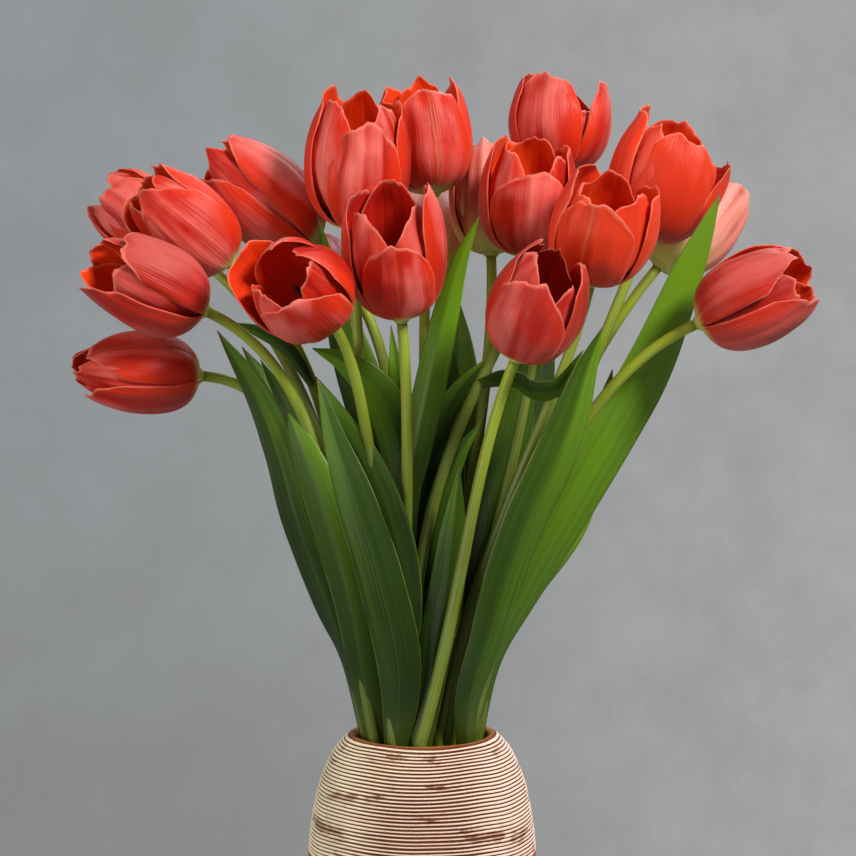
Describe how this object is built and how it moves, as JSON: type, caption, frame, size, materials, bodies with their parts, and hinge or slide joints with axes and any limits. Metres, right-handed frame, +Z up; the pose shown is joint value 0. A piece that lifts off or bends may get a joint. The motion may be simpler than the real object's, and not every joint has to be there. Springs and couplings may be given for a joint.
{
  "type": "tulips in a vase",
  "caption": "Loose bunch of coral tulips with broad green leaves, fanned out of a rounded combed stoneware vase that holds water.",
  "frame": {"origin": "centre of the vase's flat foot, on the surface it stands on", "axes": "+Z up along the vase's axis, +X to the viewer's right, -Y towards the viewer"},
  "size_m": [0.3823, 0.2213, 0.5156],
  "materials": {
    "stoneware": "combed cream slip over terracotta clay, dry matt glaze",
    "water": "clear still water",
    "foliage": "waxy satin leaf and stem skin",
    "petal_coral": "satin petal, finely ribbed lengthwise",
    "petal_pale": "satin petal, finely ribbed lengthwise"
  },
  "bodies": {
    "root": {"vase": "stoneware", "water": "water", "stem_01": "foliage", "bloom_01": "petal_coral", "stem_02": "foliage", "bloom_02": "petal_coral", "stem_03": "foliage", "bloom_03": "petal_coral", "stem_04": "foliage", "bloom_04": "petal_coral", "stem_05": "foliage", "bloom_05": "petal_coral", "stem_06": "foliage", "bloom_06": "petal_coral", "stem_07": "foliage", "bloom_07": "petal_coral", "stem_08": "foliage", "bloom_08": "petal_coral", "stem_09": "foliage", "bloom_09": "petal_coral", "stem_10": "foliage", "bloom_10": "petal_coral", "stem_11": "foliage", "bloom_11": "petal_pale", "stem_12": "foliage", "bloom_12": "petal_coral", "stem_13": "foliage", "bloom_13": "petal_coral", "stem_14": "foliage", "bloom_14": "petal_coral", "stem_15": "foliage", "bloom_15": "petal_pale", "stem_16": "foliage", "bloom_16": "petal_coral", "stem_17": "foliage", "bloom_17": "petal_coral", "stem_18": "foliage", "bloom_18": "petal_pale", "stem_19": "foliage", "bloom_19": "petal_coral", "stem_20": "foliage", "bloom_20": "petal_coral"}
  },
  "joints": []
}
